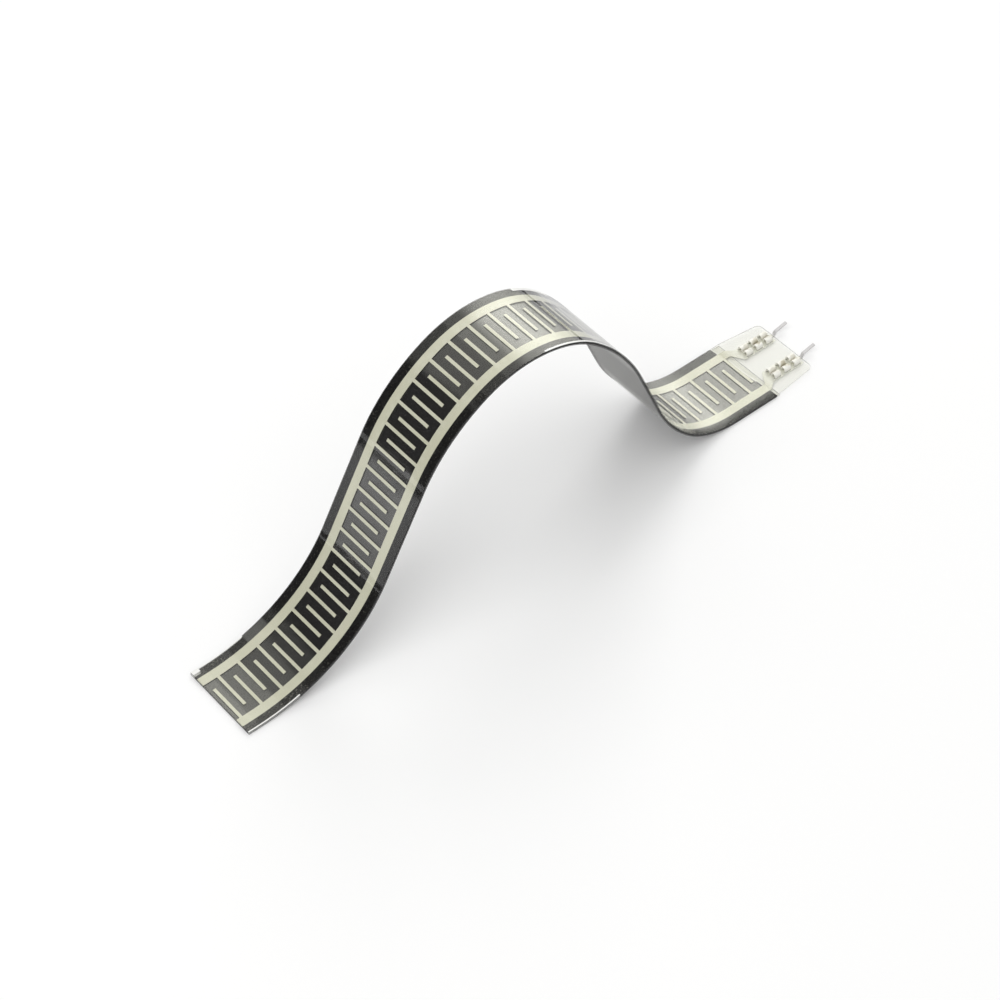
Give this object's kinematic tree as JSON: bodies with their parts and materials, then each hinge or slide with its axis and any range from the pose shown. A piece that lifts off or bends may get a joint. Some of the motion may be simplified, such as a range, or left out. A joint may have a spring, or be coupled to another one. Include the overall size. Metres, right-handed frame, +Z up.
{
  "type": "force sensing resistor strip",
  "caption": "Clear film strip with interleaved silver comb electrodes over black carbon, standing in an arch, with two crimped soldering pins at one end.",
  "frame": {"origin": "on the table, under the middle of the length from the free end to the pin tips, midway across the strip", "axes": "+X from the free end towards the soldering pins, +Y across the strip towards the far comb's bus, +Z up"},
  "size_m": [0.0912, 0.0112, 0.0331],
  "materials": {
    "clear_film": "glossy clear polyester",
    "silver_ink": "satin printed silver",
    "adhesive": "clear adhesive with small bubbles",
    "carbon_ink": "matt black carbon print",
    "backing_film": "glossy clear polyester",
    "tinned_metal": "tin plated, satin"
  },
  "bodies": {
    "root": {"sensing_film": "clear_film", "silver_comb_near": "silver_ink", "silver_comb_far": "silver_ink", "spacer_adhesive": "adhesive", "carbon_layer": "carbon_ink", "backing_film": "backing_film", "terminal_near": "tinned_metal", "terminal_far": "tinned_metal"}
  },
  "joints": []
}
